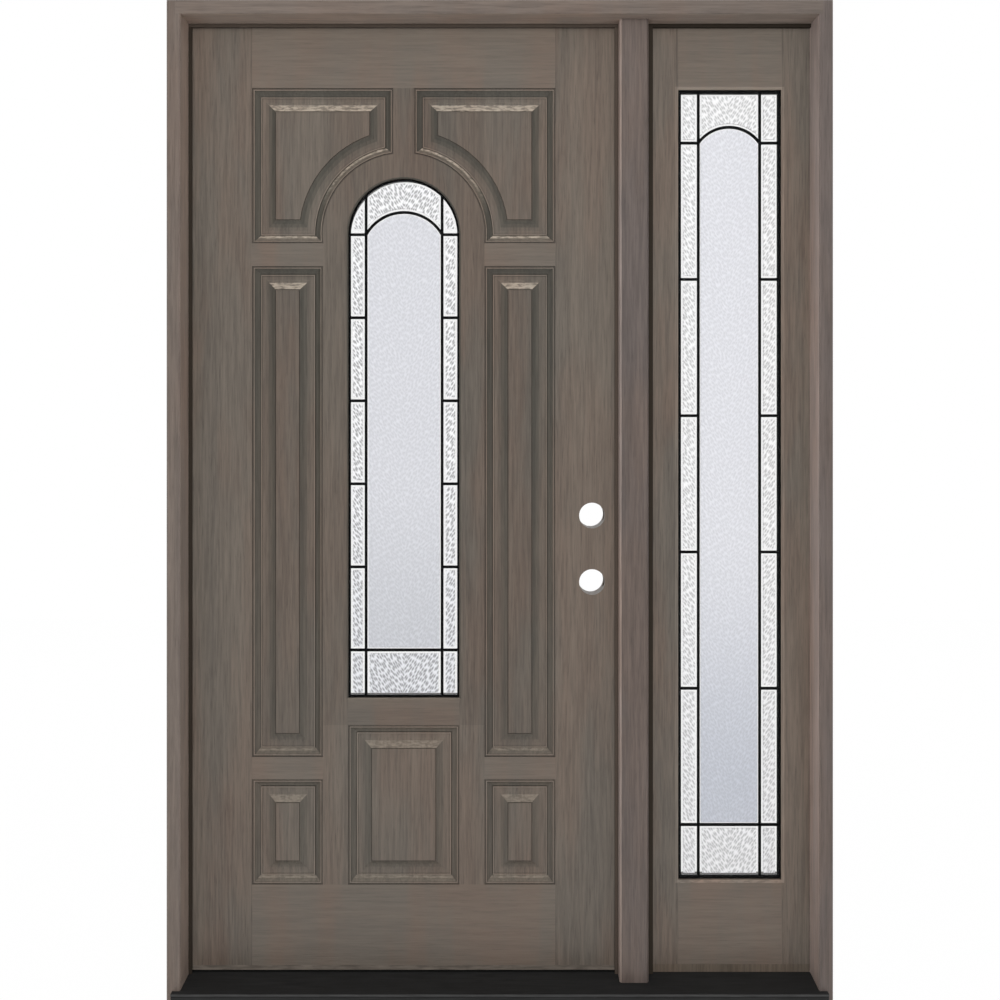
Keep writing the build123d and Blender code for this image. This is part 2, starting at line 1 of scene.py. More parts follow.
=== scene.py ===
import bmesh
import bpy
from math import atan2, cos, pi, radians, sin, sqrt
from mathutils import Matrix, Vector


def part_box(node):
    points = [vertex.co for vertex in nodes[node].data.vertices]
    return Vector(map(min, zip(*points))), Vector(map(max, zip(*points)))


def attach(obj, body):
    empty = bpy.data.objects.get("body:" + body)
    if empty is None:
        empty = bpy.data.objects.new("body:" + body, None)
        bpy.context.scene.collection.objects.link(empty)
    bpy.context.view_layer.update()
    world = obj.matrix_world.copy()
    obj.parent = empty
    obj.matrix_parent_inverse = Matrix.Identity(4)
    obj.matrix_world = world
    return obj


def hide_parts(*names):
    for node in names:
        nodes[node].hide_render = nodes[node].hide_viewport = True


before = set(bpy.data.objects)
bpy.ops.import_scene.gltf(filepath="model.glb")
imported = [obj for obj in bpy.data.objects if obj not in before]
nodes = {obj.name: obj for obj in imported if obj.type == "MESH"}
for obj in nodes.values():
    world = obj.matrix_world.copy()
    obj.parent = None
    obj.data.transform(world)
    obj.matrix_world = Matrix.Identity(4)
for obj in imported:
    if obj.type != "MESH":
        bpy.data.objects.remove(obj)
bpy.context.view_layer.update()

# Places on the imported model, in metres
door_skin_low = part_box("door_exterior_skin")[0]
inner_low, inner_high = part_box("door_interior_skin")
panel_low, panel_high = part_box("sidelite_exterior_skin")
door_x = (inner_low.x + inner_high.x) / 2
door_z = door_skin_low.z
slab_half_thickness = (inner_high.y - door_skin_low.y) / 2
slab_middle = (inner_high.y + door_skin_low.y) / 2
panel_x = (panel_low.x + panel_high.x) / 2
panel_z = panel_low.z

# Set-out of the door's panels from the slab's centre line and bottom edge
stile_line = 0.319
light_line = 0.117
arch_line = 0.170
low_panel_bottom = 0.1695
low_panel_top = 0.391
tall_panel_bottom = 0.438
tall_panel_top = 1.471
top_panel_bottom = 1.519
top_panel_top = 1.8455
centre_panel_top = 0.505
arch_spring = 1.5385
door_light_bottom = 0.562

# Set-out of the sidelite's light from the panel's centre line and bottom edge
sidelite_half = 0.1085
sidelite_bottom = 0.177
sidelite_top = 1.8405

# Joints between stiles and rails, from the centre line
door_joint_start = stile_line + 0.0002
door_joint_end = stile_line + 0.0018
side_joint_start = sidelite_half + 0.0022
side_joint_end = sidelite_half + 0.004

# Limits between which most values of a noise lie, from wide to narrow
wide_noise = (0.2, 0.8)
usual_noise = (0.25, 0.75)
narrow_noise = (0.3, 0.7)

# Wood: noise that counts as pores, stretch of the grain, and changes of tone by streaks, pores and joints
pore_noise = (0.54, 0.72)
grain_stretch = 0.045
broad_streak = 0.08
fine_streak = 0.2
pore_shade = 0.2
joint_shade = 0.22

# Rails have fainter streaks, and painted light makes them lighter; painted shade darkens the boards round
# the door's light and in its tall panels
rail_streaks = 0.55
rail_light = 1.1
board_shade = 0.88

# Mouldings: limits between which faces come to count as sloped, turned up, steep and tilted off flat
sloped = (0.05, 0.45)
turned_up = (0.12, 0.36)
steep = (0.46, 0.6)
tilted = (0.03, 0.1)

# Mouldings: heights between which the painted shade and the painted highlights grow stronger, their strength
# there and share of the colour
painted_light_heights = (0.4, 1.7)
slope_shade_growth = (0.5, 1.0)
highlight_growth = (0.4, 1.3)
slope_shade_share = 0.6
slope_light_share = 0.6

# Mouldings: painted highlight between its streaks and on them, and on steep slopes
streaky_highlight = (0.45, 1.9)
steep_highlight = 0.16

# Mouldings: painted highlight on the bead and fillet lines, and tone and reach of the painted shade in the
# recesses
line_highlight = 0.45
recess_shade = 0.34
recess_reach = 0.015

# Painted highlight lines on the bead and the fillet: depths below the slab's faces where each starts and
# ends
bead_start = 0.00065
bead_end = 0.001
fillet_start = 0.007
fillet_end = 0.0078

# Reach of the dark glazing seal past the door's light
seal_reach = 0.02

# Came, which is squarer in section the lower its power
came_width = 0.0062
came_thickness = 0.006
came_sides = 12
came_power = 0.6
side_bars = 5

# Glass cells and their bevelled margins
glass_thickness = 0.004
glass_rim_drop = 0.0008
border_margin = 0.0046
centre_margin = 0.0022

# Flecks in the glass: slant, stretch, scatter, fading edge, and number a metre in border and centre cells
fleck_slant = radians(58)
fleck_stretch = 0.36
fleck_scatter = 0.65
fleck_edge = (0.1, 0.62)
border_flecks = 230.0
centre_flecks = 290.0

# Steps on the arcs of the lights
outline_steps = 48
inner_arc_steps = 24
corner_steps = 16
crown_steps = 32

# Least cosine allowed for in the mitred corners of outlines and of came
inset_limit = 0.2
mitre_limit = 0.3

# Lip on the sill's nose, with a painted highlight on its front and a painted shadow in the step under it
lip_depth = 0.0015
lip_low = 0.0315
step_height = 0.002
lip_highlight = 2.2
step_shadow = 0.12

# Hinges and their screws: places on a leaf, radius and rise of each ring of the head, and the cross recess
hinge_places = ("bottom", "middle", "top")
leaf_width = 0.038
hinge_gap = 0.005
screw_places = ((0.009, 0.014), (0.022, 0.039), (0.022, 0.063), (0.009, 0.088))
screw_profile = ((0.0042, 0.0), (0.004, 0.0004), (0.003, 0.0007))
screw_sides = 24
recess_arm = 0.002
recess_half = 0.0004
recess_floor = 0.0001

# Inputs of a surface by plain names
surface_inputs = {
    "colour": "Base Color",
    "roughness": "Roughness",
    "metallic": "Metallic",
    "normal": "Normal",
    "gloss": "Specular IOR Level",
    "alpha": "Alpha",
}


def linear(red, green, blue):
    """Colour from its values out of 255 on a screen."""
    values = []
    for value in (red, green, blue):
        share = value / 255
        values.append(share / 12.92 if share <= 0.04045 else ((share + 0.055) / 1.055) ** 2.4)
    return (*values, 1.0)


class Shader:
    """A material's node tree, with short names for the nodes used here."""

    def __init__(self, name):
        self.material = bpy.data.materials.new(name)
        self.material.use_nodes = True
        self.tree = self.material.node_tree
        self.surface = self.tree.nodes["Principled BSDF"]
        coordinates = self.node("ShaderNodeTexCoord")
        self.place = coordinates.outputs["Object"]
        self.facing = coordinates.outputs["Normal"]

    def node(self, kind):
        return self.tree.nodes.new(kind)

    def set(self, socket, value):
        """Link a socket or set its constant."""
        if isinstance(value, bpy.types.NodeSocket):
            self.tree.links.new(value, socket)
        else:
            socket.default_value = value

    def finish(self, **values):
        """Set inputs of the surface, and return the material."""
        for name, value in values.items():
            self.set(self.surface.inputs[surface_inputs[name]], value)
        return self.material

    def math(self, operation, first, second=0.0):
        node = self.node("ShaderNodeMath")
        node.operation = operation
        self.set(node.inputs[0], first)
        self.set(node.inputs[1], second)
        return node.outputs[0]

    def product(self, first, *others):
        """Values multiplied together."""
        for other in others:
            first = self.math("MULTIPLY", first, other)
        return first

    def total(self, first, *others):
        """Values added together."""
        for other in others:
            first = self.math("ADD", first, other)
        return first

    def either(self, first, *others):
        """1 where any of some masks is 1."""
        for other in others:
            first = self.math("MAXIMUM", first, other)
        return first

    def rest(self, value):
        """What is left of 1."""
        return self.math("SUBTRACT", 1.0, value)

    def distance(self, value, centre):
        """How far a value is from another, either way."""
        return self.math("ABSOLUTE", self.math("SUBTRACT", value, centre))

    def band(self, value, low, high):
        """1 between two limits, else 0."""
        return self.product(self.math("GREATER_THAN", value, low), self.math("LESS_THAN", value, high))

    def axes(self, vector):
        node = self.node("ShaderNodeSeparateXYZ")
        self.set(node.inputs[0], vector)
        return node.outputs

    def vector(self, x, y, z):
        node = self.node("ShaderNodeCombineXYZ")
        for socket, value in zip(node.inputs, (x, y, z)):
            self.set(socket, value)
        return node.outputs[0]

    def scaled(self, x, y, z, turn=0.0):
        """The object's coordinates, turned about Y and stretched."""
        node = self.node("ShaderNodeMapping")
        self.set(node.inputs["Vector"], self.place)
        node.inputs["Scale"].default_value = (x, y, z)
        node.inputs["Rotation"].default_value = (0.0, turn, 0.0)
        return node.outputs[0]

    def noise(self, vector, scale, detail=2.0, roughness=0.5, distortion=0.0):
        node = self.node("ShaderNodeTexNoise")
        self.set(node.inputs["Vector"], vector)
        node.inputs["Scale"].default_value = scale
        node.inputs["Detail"].default_value = detail
        node.inputs["Roughness"].default_value = roughness
        node.inputs["Distortion"].default_value = distortion
        return node.outputs["Fac"]

    def scatter(self, vector, scale):
        """Distance in the X and Y plane to the nearest of many scattered points."""
        node = self.node("ShaderNodeTexVoronoi")
        node.voronoi_dimensions = "2D"
        self.set(node.inputs["Vector"], vector)
        node.inputs["Scale"].default_value = scale
        node.inputs["Randomness"].default_value = fleck_scatter
        return node.outputs["Distance"]

    def range(self, value, low, high, to_low=0.0, to_high=1.0):
        """A value's place between two limits, eased, as a value between two others."""
        node = self.node("ShaderNodeMapRange")
        node.interpolation_type = "SMOOTHSTEP"
        self.set(node.inputs["Value"], value)
        node.inputs["From Min"].default_value = low
        node.inputs["From Max"].default_value = high
        node.inputs["To Min"].default_value = to_low
        node.inputs["To Max"].default_value = to_high
        return node.outputs["Result"]

    def mix(self, factor, first, second):
        """Blend of two colours."""
        node = self.node("ShaderNodeMix")
        node.data_type = "RGBA"
        self.set(node.inputs[0], factor)
        self.set(node.inputs[6], first)
        self.set(node.inputs[7], second)
        return node.outputs[2]

    def mix_value(self, factor, first, second):
        """Blend of two numbers."""
        node = self.node("ShaderNodeMix")
        node.data_type = "FLOAT"
        self.set(node.inputs[0], factor)
        self.set(node.inputs[2], first)
        self.set(node.inputs[3], second)
        return node.outputs[0]

    def times(self, colour, value):
        """Colour times a number."""
        node = self.node("ShaderNodeVectorMath")
        node.operation = "SCALE"
        self.set(node.inputs[0], colour if isinstance(colour, bpy.types.NodeSocket) else colour[:3])
        self.set(node.inputs["Scale"], value)
        return node.outputs[0]

    def bump(self, height, strength, distance):
        node = self.node("ShaderNodeBump")
        node.inputs["Strength"].default_value = strength
        node.inputs["Distance"].default_value = distance
        self.set(node.inputs["Height"], height)
        return node.outputs[0]


def use(material, *names):
    """Give a material to CAD nodes."""
    for name in names:
        slots = nodes[name].data.materials
        slots.clear()
        slots.append(material)


# Stains: base, warm and cool tones
slab_stain = (linear(103, 94, 85), linear(108, 93, 83), linear(100, 94, 87))
jamb_stain = (linear(110, 99, 91), linear(113, 98, 89), linear(107, 98, 92))
post_stain = (linear(99, 89, 84), linear(102, 89, 82), linear(97, 89, 86))
edge_stain = (linear(98, 88, 78), linear(102, 88, 76), linear(94, 87, 78))
# Colours of the painted shade on the mouldings' side and lower slopes, and of the painted light on their
# upper slopes
shaded_slope_colour = linear(94, 93, 84)
lit_slope_colour = linear(103, 96, 86)


def grain(shader, along):
    """Broad streaks, fine streaks and pores of a wood grain that runs along X or Z."""
    stretch = (1.0, 1.0, grain_stretch) if along == "Z" else (grain_stretch, 1.0, 1.0)
    streaks = shader.scaled(*stretch)
    broad = shader.noise(streaks, 21.0, detail=3.0, roughness=0.55, distortion=0.3)
    fine = shader.noise(streaks, 200.0, detail=4.0, roughness=0.62, distortion=0.2)
    pores = shader.noise(streaks, 640.0)
    return broad, fine, pores


def moulding_painted_light(shader, colour, tone, darker):
    """Colour and tone with painted shade on the mouldings' slopes and in their recesses, and painted
    highlights on their upper slopes and on bead and fillet.

    Darker is the share of tone that slopes facing sideways or down lose as painted shade. Below 0 they gain
    it as painted light, and the colour stays as it is.
    """
    facing = shader.axes(shader.facing)
    place = shader.axes(shader.place)
    tilt = shader.math("SQRT", shader.rest(shader.math("POWER", facing[1], 2.0)))
    upward = shader.range(facing[2], *turned_up)
    shaded_slopes = shader.product(shader.range(tilt, *sloped), shader.rest(upward))
    # Painted shade: slopes facing sideways or down are darkened and turned towards the shaded colour, more
    # so higher up
    if darker > 0.0:
        shaded_slopes = shader.product(shaded_slopes, shader.range(place[2], *painted_light_heights, *slope_shade_growth))
        colour = shader.mix(shader.product(shaded_slopes, slope_shade_share), colour, shaded_slope_colour)
        # Painted light: upper slopes turned towards the lit colour
        colour = shader.mix(shader.product(upward, slope_light_share), colour, lit_slope_colour)
    tone = shader.product(tone, shader.rest(shader.product(shaded_slopes, darker)))
    # Painted highlight: streaky light on upper slopes, stronger higher up and weaker on steep slopes
    streak = shader.noise(shader.scaled(0.3, 1.0, 1.0, turn=0.6), 240.0, detail=3.0, roughness=0.6)
    highlight = shader.product(
        upward,
        shader.range(streak, 0.38, 0.6, *streaky_highlight),
        shader.range(tilt, *steep, 1.0, steep_highlight),
        shader.range(place[2], *painted_light_heights, *highlight_growth),
    )
    # Painted highlight: light lines on the flat tops of the bead and the fillet
    depth = shader.math("SUBTRACT", slab_half_thickness, shader.distance(place[1], slab_middle))
    bead = shader.band(depth, bead_start, bead_end)
    fillet = shader.band(depth, fillet_start, fillet_end)
    lines = shader.product(shader.either(bead, fillet), shader.range(tilt, *tilted, line_highlight, 0.0))
    tone = shader.total(tone, highlight, lines)
    # Painted shade: recesses darkened by ambient occlusion
    recess = shader.node("ShaderNodeAmbientOcclusion")
    recess.samples = 4
    recess.only_local = True
    recess.inputs["Distance"].default_value = recess_reach
    return colour, shader.product(tone, shader.range(recess.outputs["AO"], 0.3, 0.94, recess_shade, 1.0))


def stained_wood(name, stain, rails=None, joints=None, boards=None, along="Z", reveal=None, moulded=0.0):
    """Grey-stained wood with upright grain, or along X where rails gives 1.

    Reveal gives an axis, a direction, the painted light as a tone on the faces turned that way and how far
    they are turned where it starts. Moulded is the share of tone that painted shade takes from the
    mouldings' slopes; below 0 it is painted light, and 0 means no mouldings.
    """
    shader = Shader(name)
    base, warm, cool = stain
    if rails is None:
        broad, fine, pores = grain(shader, along)
        contrast = 1.0
        level = 1.0
    else:
        mask = rails(shader)
        pairs = zip(grain(shader, "Z"), grain(shader, "X"))
        broad, fine, pores = [shader.mix_value(mask, upright, across) for upright, across in pairs]
        contrast = shader.mix_value(mask, 1.0, rail_streaks)
        # Painted light: rails made lighter
        level = shader.mix_value(mask, 1.0, rail_light)
    tint = shader.noise(shader.scaled(1.0, 1.0, 0.2), 9.0, detail=3.0, roughness=0.6)
    colour = shader.mix(shader.range(tint, 0.38, 0.62), warm, cool)
    colour = shader.mix(shader.range(broad, *narrow_noise, 0.3, 0.7), colour, base)
    streaks = shader.total(
        shader.range(broad, *usual_noise, -broad_streak, broad_streak),
        shader.range(fine, *usual_noise, -fine_streak, fine_streak),
        shader.range(pores, *pore_noise, 0.0, -pore_shade),
    )
    tone = shader.total(level, shader.product(streaks, contrast))
    # Painted light: faces turned one way, such as the frame's reveals, made lighter
    if reveal is not None:
        axis, direction, reveal_light, start = reveal
        turned = shader.product(shader.axes(shader.facing)[axis], direction)
        tone = shader.product(tone, shader.range(turned, start, 0.97, 1.0, reveal_light))
    if joints is not None:
        tone = shader.math("SUBTRACT", tone, shader.product(joints(shader), joint_shade))
    # Painted shade: darker boards in the door's middle
    if boards is not None:
        tone = shader.product(tone, shader.mix_value(boards(shader), 1.0, board_shade))
    if moulded:
        colour, tone = moulding_painted_light(shader, colour, tone, moulded)
    height = shader.math("SUBTRACT", shader.product(fine, 0.5), shader.range(pores, 0.54, 0.7))
    return shader.finish(
        colour=shader.times(colour, tone),
        roughness=shader.range(fine, *narrow_noise, 0.34, 0.48),
        normal=shader.bump(height, 0.35, 0.0003),
        gloss=0.3,
    )


def panel_place(shader, x, z):
    """Distance from a panel's centre line and height above its bottom edge."""
    axes = shader.axes(shader.place)
    return shader.distance(axes[0], x), shader.math("SUBTRACT", axes[2], z)


def door_rails(shader):
    """1 on the door's rails, where the grain runs along X."""
    across, up = panel_place(shader, door_x, door_z)
    top = shader.math("GREATER_THAN", up, top_panel_top)
    bottom = shader.math("LESS_THAN", up, low_panel_bottom)
    ends = shader.product(shader.math("LESS_THAN", across, stile_line), shader.either(top, bottom))
    upper = shader.band(up, tall_panel_top, top_panel_bottom)
    lower = shader.band(up, low_panel_top, tall_panel_bottom)
    sides = shader.product(shader.band(across, arch_line, stile_line), shader.either(upper, lower))
    centre = shader.band(up, centre_panel_top, door_light_bottom)
    middle = shader.product(shader.math("LESS_THAN", across, light_line), centre)
    return shader.either(ends, sides, middle)


def door_joints(shader):
    """1 on the thin joints between the door's stiles and rails."""
    across, up = panel_place(shader, door_x, door_z)
    line = shader.band(across, door_joint_start, door_joint_end)
    top = shader.math("GREATER_THAN", up, top_panel_bottom)
    bottom = shader.math("LESS_THAN", up, low_panel_top)
    return shader.product(line, shader.either(top, bottom))


def door_shaded_boards(shader):
    """1 on the boards round the door's light and in its tall panels, which painted shade darkens to even out
    the lamps' brighter light in the door's middle.
    """
    across, up = panel_place(shader, door_x, door_z)
    surround = shader.product(
        shader.math("LESS_THAN", across, arch_line),
        shader.band(up, centre_panel_top, top_panel_top),
    )
    tall = shader.product(
        shader.band(across, arch_line, stile_line),
        shader.band(up, tall_panel_bottom, tall_panel_top),
    )
    return shader.either(surround, tall)


def sidelite_rails(shader):
    """1 on the sidelite's rails."""
    across, up = panel_place(shader, panel_x, panel_z)
    top = shader.math("GREATER_THAN", up, sidelite_top)
    bottom = shader.math("LESS_THAN", up, sidelite_bottom)
    return shader.product(shader.math("LESS_THAN", across, sidelite_half), shader.either(top, bottom))


def sidelite_joints(shader):
    """1 on the thin joints between the sidelite's stiles and rails."""
    across = shader.distance(shader.axes(shader.place)[0], panel_x)
    return shader.band(across, side_joint_start, side_joint_end)


# Painted light and shade on the mouldings: the door's slopes facing sideways or down are darkened, the
# sidelite's made lighter
door_wood = stained_wood("door_stain_and_painted_mouldings", slab_stain, door_rails, door_joints, door_shaded_boards, moulded=0.4)
sidelite_wood = stained_wood("sidelite_stain_and_painted_mouldings", slab_stain, sidelite_rails, sidelite_joints, moulded=-0.6)
edge_wood = stained_wood("edge_stain", edge_stain)
use(door_wood, "door_exterior_skin", "door_interior_skin")
use(sidelite_wood, "sidelite_exterior_skin", "sidelite_interior_skin")
# The jambs' reveals carry painted light
use(stained_wood("hinge_jamb_stain_and_lit_reveal", jamb_stain, reveal=(0, 1, 2.5, 0.65)), "hinge_jamb")
use(stained_wood("sidelite_jamb_stain_and_lit_reveal", post_stain, reveal=(0, -1, 4.2, 0.65)), "sidelite_jamb")
use(stained_wood("mullion_stain_and_lit_reveal", post_stain, reveal=(0, -1, 3.9, 0.4)), "mullion_post")
use(stained_wood("head_jamb_stain_and_lit_reveal", jamb_stain, along="X", reveal=(2, -1, 2.3, 0.65)), "head_jamb")
use(edge_wood, "hinge_stile", "lock_stile", "lock_block", "door_top_rail", "door_bottom_rail")
use(edge_wood, "sidelite_left_stile", "sidelite_right_stile", "sidelite_top_rail", "sidelite_bottom_rail")
use(edge_wood, "sidelite_base")


def speckled(name, base, spread, scale, roughness, metallic=0.0, bump=0.0002, stretch=None, gloss=0.3):
    """Even finish with a fine speckle in its colour, roughness and surface."""
    shader = Shader(name)
    place = shader.place if stretch is None else shader.scaled(*stretch)
    speck = shader.noise(place, scale, detail=3.0, roughness=0.6)
    tone = shader.range(speck, *usual_noise, 1.0 - spread, 1.0 + spread)
    return shader.finish(
        colour=shader.times(base, tone),
        roughness=shader.range(speck, *wide_noise, roughness - 0.08, roughness + 0.08),
        metallic=metallic,
        normal=shader.bump(speck, 0.3, bump),
        gloss=gloss,
    )


def deck_with_lip_light():
    """Dark anodised deck, with a painted highlight on the lip of its nose and a painted shadow in the step
    under the lip.
    """
    shader = Shader("dark_anodised_deck_with_lip_light")
    speck = shader.noise(shader.scaled(0.05, 1.0, 1.0), 300.0, detail=3.0, roughness=0.6)
    axes = shader.axes(shader.place)
    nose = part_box("sill_deck")[0].y
    lip = shader.math("LESS_THAN", axes[1], nose + lip_depth / 2)
    step = shader.product(shader.band(axes[2], lip_low - step_height, lip_low), shader.rest(lip))
    # Painted highlight on the lip and painted shadow in the step under it
    tone = shader.product(
        shader.range(speck, *narrow_noise, 0.75, 1.25),
        shader.mix_value(lip, 1.0, lip_highlight),
        shader.mix_value(step, 1.0, step_shadow),
    )
    return shader.finish(
        colour=shader.times(linear(43, 43, 43), tone),
        roughness=shader.range(speck, *wide_noise, 0.47, 0.63),
        gloss=0.12,
    )


def core_foam():
    """Rigid foam, with dark glazing seal where it is cut for the light."""
    shader = Shader("rigid_foam")
    speck = shader.noise(shader.place, 1500.0, detail=3.0, roughness=0.6)
    across = shader.distance(shader.axes(shader.place)[0], door_x)
    sealed = shader.math("LESS_THAN", across, light_line + seal_reach)
    colour = shader.mix(sealed, linear(222, 208, 170), linear(38, 37, 36))
    return shader.finish(
        colour=shader.times(colour, shader.range(speck, *usual_noise, 0.94, 1.06)),
        roughness=shader.range(speck, *wide_noise, 0.8, 0.95),
    )


def clear_glass():
    """Clear pane that lets light through and keeps its gloss."""
    shader = Shader("clear_glass")
    return shader.finish(colour=(0.05, 0.06, 0.06, 1.0), roughness=0.03, alpha=0.02)


foam_seal = speckled("foam_seal", linear(50, 44, 38), 0.2, 900.0, 0.8, gloss=0.1)
# Painted light: a lighter copy of the seal for the head and latch strips
lit_seal = speckled("lit_seal", linear(79, 70, 63), 0.2, 900.0, 0.8, gloss=0.1)
sweep_vinyl = speckled("sweep_vinyl", linear(104, 96, 88), 0.35, 25.0, 0.5, stretch=(1.0, 1.0, 6.0))
dark_composite = speckled("dark_composite", linear(30, 30, 29), 0.15, 400.0, 0.65, gloss=0.1)
satin_steel = speckled(
    "satin_steel",
    linear(150, 146, 140),
    spread=0.08,
    scale=700.0,
    roughness=0.34,
    metallic=1.0,
    bump=0.00003,
    stretch=(1.0, 1.0, 0.1),
)
use(foam_seal, "hinge_weatherstrip", "sidelite_gasket")
use(lit_seal, "latch_weatherstrip", "head_weatherstrip")
use(sweep_vinyl, "door_sweep")
use(deck_with_lip_light(), "sill_deck")
use(dark_composite, "threshold_cap", "sill_substrate")
use(core_foam(), "foam_core")
use(clear_glass(), "door_outer_pane", "door_inner_pane", "sidelite_outer_pane", "sidelite_inner_pane")
for place in hinge_places:
    use(satin_steel, f"{place}_hinge_jamb_leaf", f"{place}_hinge_door_leaf", f"{place}_hinge_pin")


def hammered_glass(name, bright, dull, dull_z, bright_z, middle_x, dark, flecks_a_metre):
    """Pale hammered glass, duller low down, with dark flecks that slant up and away from the centre line."""
    shader = Shader(name)
    axes = shader.axes(shader.place)
    across = shader.distance(axes[0], middle_x)
    slant_x = cos(fleck_slant)
    slant_z = sin(fleck_slant)
    run = shader.total(shader.product(across, slant_x), shader.product(axes[2], slant_z))
    side = shader.total(shader.product(across, slant_z), shader.product(axes[2], -slant_x))
    half = shader.math("GREATER_THAN", axes[0], middle_x)
    slanted = shader.vector(shader.total(side, half), shader.product(run, fleck_stretch), 0.0)
    flecks = shader.scatter(slanted, flecks_a_metre)
    colour = shader.mix(shader.range(axes[2], dull_z, bright_z), dull, bright)
    return shader.finish(
        colour=shader.times(colour, shader.range(flecks, *fleck_edge, 1.0 - dark, 1.0)),
        roughness=shader.range(flecks, *narrow_noise, 0.16, 0.28),
        normal=shader.bump(flecks, 0.35, 0.0006),
    )


def bevelled_glass():
    """Clear bevelled edge of a glass cell, which shows bright."""
    shader = Shader("bevelled_glass")
    wave = shader.noise(shader.place, 120.0)
    tone = shader.range(wave, *narrow_noise, 0.97, 1.0)
    return shader.finish(colour=shader.times((0.97, 0.972, 0.975), tone), roughness=0.12, alpha=0.12)


def came_metal():
    """Black patina on came, with faint dull patches."""
    shader = Shader("black_came")
    patch = shader.noise(shader.place, 90.0, detail=3.0, roughness=0.6)
    tone = shader.range(patch, *narrow_noise, 0.7, 1.3)
    return shader.finish(
        colour=shader.times((0.003, 0.003, 0.0033), tone),
        roughness=shader.range(patch, *narrow_noise, 0.5, 0.7),
        gloss=0.06,
    )


def inset(points, amount):
    """A closed outline with every side moved in, for points that run anticlockwise."""
    moved = []
    count = len(points)
    for index, here in enumerate(points):
        run_in = (here - points[index - 1]).normalized()
        run_out = (points[(index + 1) % count] - here).normalized()
        normal_in = Vector((-run_in.y, run_in.x))
        normal_out = Vector((-run_out.y, run_out.x))
        middle = (normal_in + normal_out).normalized()
        moved.append(here + middle * (amount / max(inset_limit, middle.dot(normal_in))))
    return moved


def outline_depth(points, place):
    """Distance of a place inside an anticlockwise outline to its nearest side."""
    depths = []
    for before, after in zip(points, points[1:] + points[:1]):
        run = (after - before).normalized()
        depths.append((place - before).dot(Vector((-run.y, run.x))))
    return min(depths)


def shrunk(points, amount):
    """A small closed outline drawn in towards the place that lies deepest inside it."""
    middle = sum(points, Vector((0.0, 0.0))) / len(points)
    shares = [step / 12 for step in range(4, 20)]
    places = [corner.lerp(middle, share) for corner in points for share in shares]
    centre = max(places, key=lambda place: outline_depth(points, place))
    size = 1 - amount / outline_depth(points, centre)
    return [centre + (point - centre) * size for point in points]


def arc(centre_z, radius, start, end, steps):
    """Points on an arc about the centre line, from one angle to another."""
    angles = [start + (end - start) * step / steps for step in range(steps + 1)]
    return [Vector((radius * cos(angle), centre_z + radius * sin(angle))) for angle in angles]


def box_outline(left, right, bottom, top):
    """Corners of a rectangle, anticlockwise from the bottom left."""
    return [Vector((left, bottom)), Vector((right, bottom)), Vector((right, top)), Vector((left, top))]


